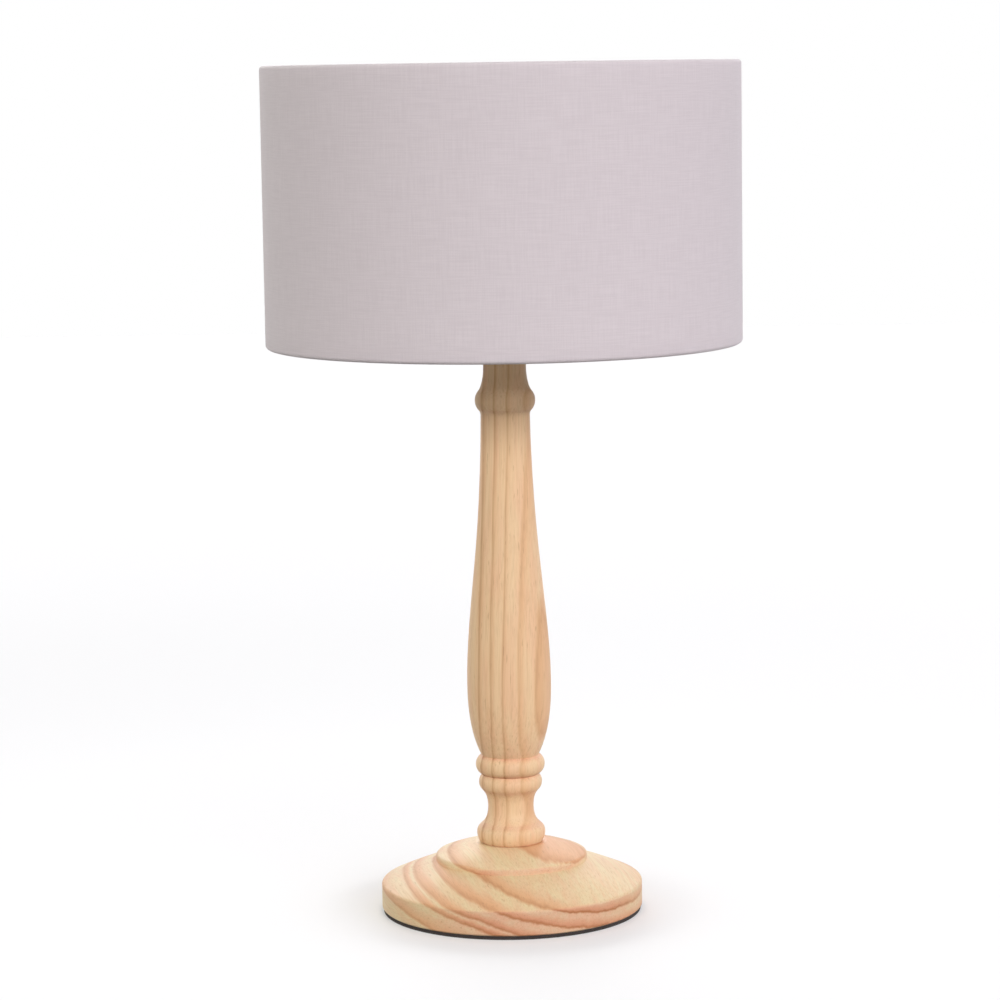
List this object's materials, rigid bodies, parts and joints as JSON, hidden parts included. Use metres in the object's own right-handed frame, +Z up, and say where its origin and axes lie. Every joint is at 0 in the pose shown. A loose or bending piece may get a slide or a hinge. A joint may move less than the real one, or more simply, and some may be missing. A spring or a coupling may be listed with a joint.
{
  "type": "table lamp",
  "caption": "Table lamp with a turned pale pine base and column, a plain fabric drum shade, a switched screw lampholder and a candle bulb.",
  "frame": {"origin": "centre of the underside, on the surface that the lamp stands on", "axes": "+Z up along the column, +Y towards the back where the cord inlet is, +X to the right seen from the front"},
  "size_m": [0.25, 0.25, 0.4492],
  "materials": {
    "pine": "satin lacquered pale pine with amber growth lines",
    "pad_foam": "matte dark foam",
    "zinc_steel": "zinc plated, satin",
    "black_plastic": "fine moulded texture",
    "white_plastic": "moulded, soft gloss",
    "switch_plastic": "moulded, soft gloss",
    "contact_brass": "stamped, lightly tarnished",
    "block_ceramic": "glazed ceramic",
    "coated_wire": "white powder coat",
    "shade_liner": "smooth white sheet",
    "shade_fabric": "plain woven cotton, pale lilac grey, matte",
    "nickel": "rolled, satin",
    "black_glass": "moulded vitrite",
    "solder": "dull solder",
    "bulb_glass": "clear",
    "filament": "yellow phosphor coat"
  },
  "bodies": {
    "root": {"base_pad": "pad_foam", "base": "pine", "base_washer": "zinc_steel", "base_nut": "zinc_steel", "cord_bush": "black_plastic", "column": "pine", "threaded_tube": "zinc_steel", "top_washer": "zinc_steel", "holder_cap": "white_plastic", "grub_screw": "zinc_steel", "holder_barrel": "white_plastic", "switch_leaf": "contact_brass", "terminal_block": "block_ceramic", "terminals": "contact_brass", "terminal_screws": "zinc_steel", "screw_shell": "contact_brass", "centre_contact": "contact_brass"},
    "switch": {"switch_bar": "switch_plastic"},
    "shade": {"carrier_ring": "coated_wire", "spider_spokes": "coated_wire", "bottom_wire": "coated_wire", "top_wire": "coated_wire", "shade_liner": "shade_liner", "shade_cloth": "shade_fabric"},
    "ring": {"shade_ring": "white_plastic"},
    "bulb": {"bulb_cap": "nickel", "bulb_insulator": "black_glass", "bulb_tip": "solder", "bulb_glass": "bulb_glass", "bulb_stem": "bulb_glass", "bulb_filaments": "filament", "bulb_leads": "nickel"}
  },
  "joints": [
    {"name": "switch_slide", "type": "slide", "parent": "root", "child": "switch", "axis": [1, 0, 0], "range_m": [0, 0.005]},
    {"name": "shade_lift", "type": "slide", "parent": "root", "child": "shade", "axis": [0, 0, 1], "range_m": [0, 0.13]},
    {"name": "ring_turn", "type": "hinge", "parent": "shade", "child": "ring", "pos_m": [0, 0, 0.33], "axis": [0, 0, 1], "continuous": true},
    {"name": "bulb_lift", "type": "slide", "parent": "root", "child": "bulb", "axis": [0, 0, 1], "range_m": [0, 0.12]}
  ]
}
